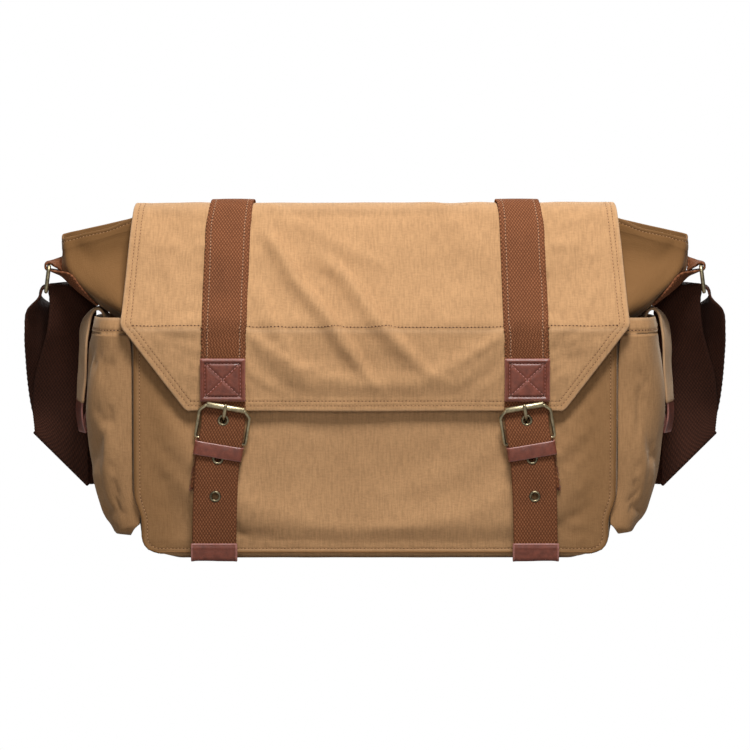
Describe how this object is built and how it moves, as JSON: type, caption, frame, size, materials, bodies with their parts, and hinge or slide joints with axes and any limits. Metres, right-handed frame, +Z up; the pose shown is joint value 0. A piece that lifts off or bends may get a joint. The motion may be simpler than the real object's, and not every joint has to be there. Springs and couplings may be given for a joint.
{
  "type": "messenger bag",
  "caption": "Canvas messenger bag with a wide front flap, two webbing straps with roller buckles, end pockets with tabs, and a webbing shoulder strap on rings.",
  "frame": {"origin": "on the ground under the middle of the bag's box, without the shoulder strap", "axes": "+X towards the bag's right end seen from the front, -Y the front with the buckles, +Z up"},
  "size_m": [0.6592, 0.1719, 0.3308],
  "materials": {
    "canvas": "washed twill canvas, matt",
    "canvas_inside": "plain cotton canvas, matt",
    "webbing": "ribbed cotton webbing, matt",
    "strap_webbing": "heavy cotton webbing, matt",
    "leather": "semi-gloss, worn pink at the cut edges",
    "brass": "antiqued, darkened in the recesses",
    "board": "stiff board"
  },
  "bodies": {
    "bag": {"front_panel": "canvas", "back_panel": "canvas", "bottom_panel": "canvas", "base_board": "board", "gusset_left": "canvas", "gusset_right": "canvas", "inner_pocket": "canvas_inside", "flap_back_hem": "canvas", "chape_left": "webbing", "chape_right": "webbing", "keeper_left": "leather", "keeper_right": "leather", "side_pocket_left": "canvas", "side_pocket_right": "canvas", "tab_anchor_left": "canvas", "tab_anchor_right": "canvas", "tab_loop_left": "leather", "tab_loop_right": "leather", "ring_tab_left": "webbing", "ring_tab_right": "webbing", "shoulder_strap_left": "strap_webbing", "shoulder_strap_right": "strap_webbing", "strap_return_left": "strap_webbing", "strap_return_right": "strap_webbing", "strap_slider": "brass"},
    "flap": {"flap_shell": "canvas", "flap_facing": "canvas_inside", "flap_webbing_left": "webbing", "leather_patch_left": "leather", "strap_tail_left": "webbing", "strap_tip_left": "leather", "eyelet_left_1": "brass", "eyelet_left_2": "brass", "eyelet_left_3": "brass", "flap_webbing_right": "webbing", "leather_patch_right": "leather", "strap_tail_right": "webbing", "strap_tip_right": "leather", "eyelet_right_1": "brass", "eyelet_right_2": "brass", "eyelet_right_3": "brass"},
    "buckle_left": {"buckle_frame_left": "brass"},
    "roller_left": {"roller_left": "brass"},
    "tongue_left": {"tongue_left": "brass"},
    "tab_left": {"pocket_tab_left": "canvas", "tab_tip_left": "leather"},
    "ring_left": {"ring_left": "brass"},
    "buckle_right": {"buckle_frame_right": "brass"},
    "roller_right": {"roller_right": "brass"},
    "tongue_right": {"tongue_right": "brass"},
    "tab_right": {"pocket_tab_right": "canvas", "tab_tip_right": "leather"},
    "ring_right": {"ring_right": "brass"}
  },
  "joints": [
    {"name": "flap_hinge", "type": "hinge", "parent": "bag", "child": "flap", "pos_m": [0, 0.03105, 0.3175], "axis": [-1, 0, 0], "range_deg": [0, 220]},
    {"name": "buckle_left_hinge", "type": "hinge", "parent": "bag", "child": "buckle_left", "pos_m": [-0.1404, -0.0685, 0.1095], "axis": [0.9851, 0, -0.1719], "range_deg": [0, 66]},
    {"name": "tongue_left_hinge", "type": "hinge", "parent": "bag", "child": "tongue_left", "pos_m": [-0.1404, -0.0685, 0.1095], "axis": [0.9851, 0, -0.1719], "range_deg": [0, 77]},
    {"name": "roller_left_spin", "type": "hinge", "parent": "buckle_left", "child": "roller_left", "pos_m": [-0.13499, -0.07484, 0.1405], "axis": [0.9851, 0, -0.1719], "continuous": true},
    {"name": "tab_left_hinge", "type": "hinge", "parent": "bag", "child": "tab_left", "pos_m": [-0.2612, 0.00855, 0.2266], "axis": [0, 1, 0], "range_deg": [0, 35]},
    {"name": "ring_left_hinge", "type": "hinge", "parent": "bag", "child": "ring_left", "pos_m": [-0.304, 0.00855, 0.266], "axis": [-0.126, 0.992, 0], "range_deg": [-25, 60], "deforming": ["shoulder_strap_left", "strap_return_left"]},
    {"name": "buckle_right_hinge", "type": "hinge", "parent": "bag", "child": "buckle_right", "pos_m": [0.1404, -0.0685, 0.1095], "axis": [0.9851, 0, 0.1719], "range_deg": [0, 66]},
    {"name": "tongue_right_hinge", "type": "hinge", "parent": "bag", "child": "tongue_right", "pos_m": [0.1404, -0.0685, 0.1095], "axis": [0.9851, 0, 0.1719], "range_deg": [0, 77]},
    {"name": "roller_right_spin", "type": "hinge", "parent": "buckle_right", "child": "roller_right", "pos_m": [0.13499, -0.07484, 0.1405], "axis": [0.9851, 0, 0.1719], "continuous": true},
    {"name": "tab_right_hinge", "type": "hinge", "parent": "bag", "child": "tab_right", "pos_m": [0.2612, 0.00855, 0.2266], "axis": [0, -1, 0], "range_deg": [0, 35]},
    {"name": "ring_right_hinge", "type": "hinge", "parent": "bag", "child": "ring_right", "pos_m": [0.304, 0.00855, 0.266], "axis": [-0.126, -0.992, 0], "range_deg": [-25, 60], "deforming": ["shoulder_strap_right", "strap_return_right"]}
  ],
  "couplings": [
    {"joint": "buckle_left_hinge", "follows": "flap_hinge", "ratio": 0.3},
    {"joint": "tongue_left_hinge", "follows": "flap_hinge", "ratio": 0.35},
    {"joint": "buckle_right_hinge", "follows": "flap_hinge", "ratio": 0.3},
    {"joint": "tongue_right_hinge", "follows": "flap_hinge", "ratio": 0.35}
  ]
}
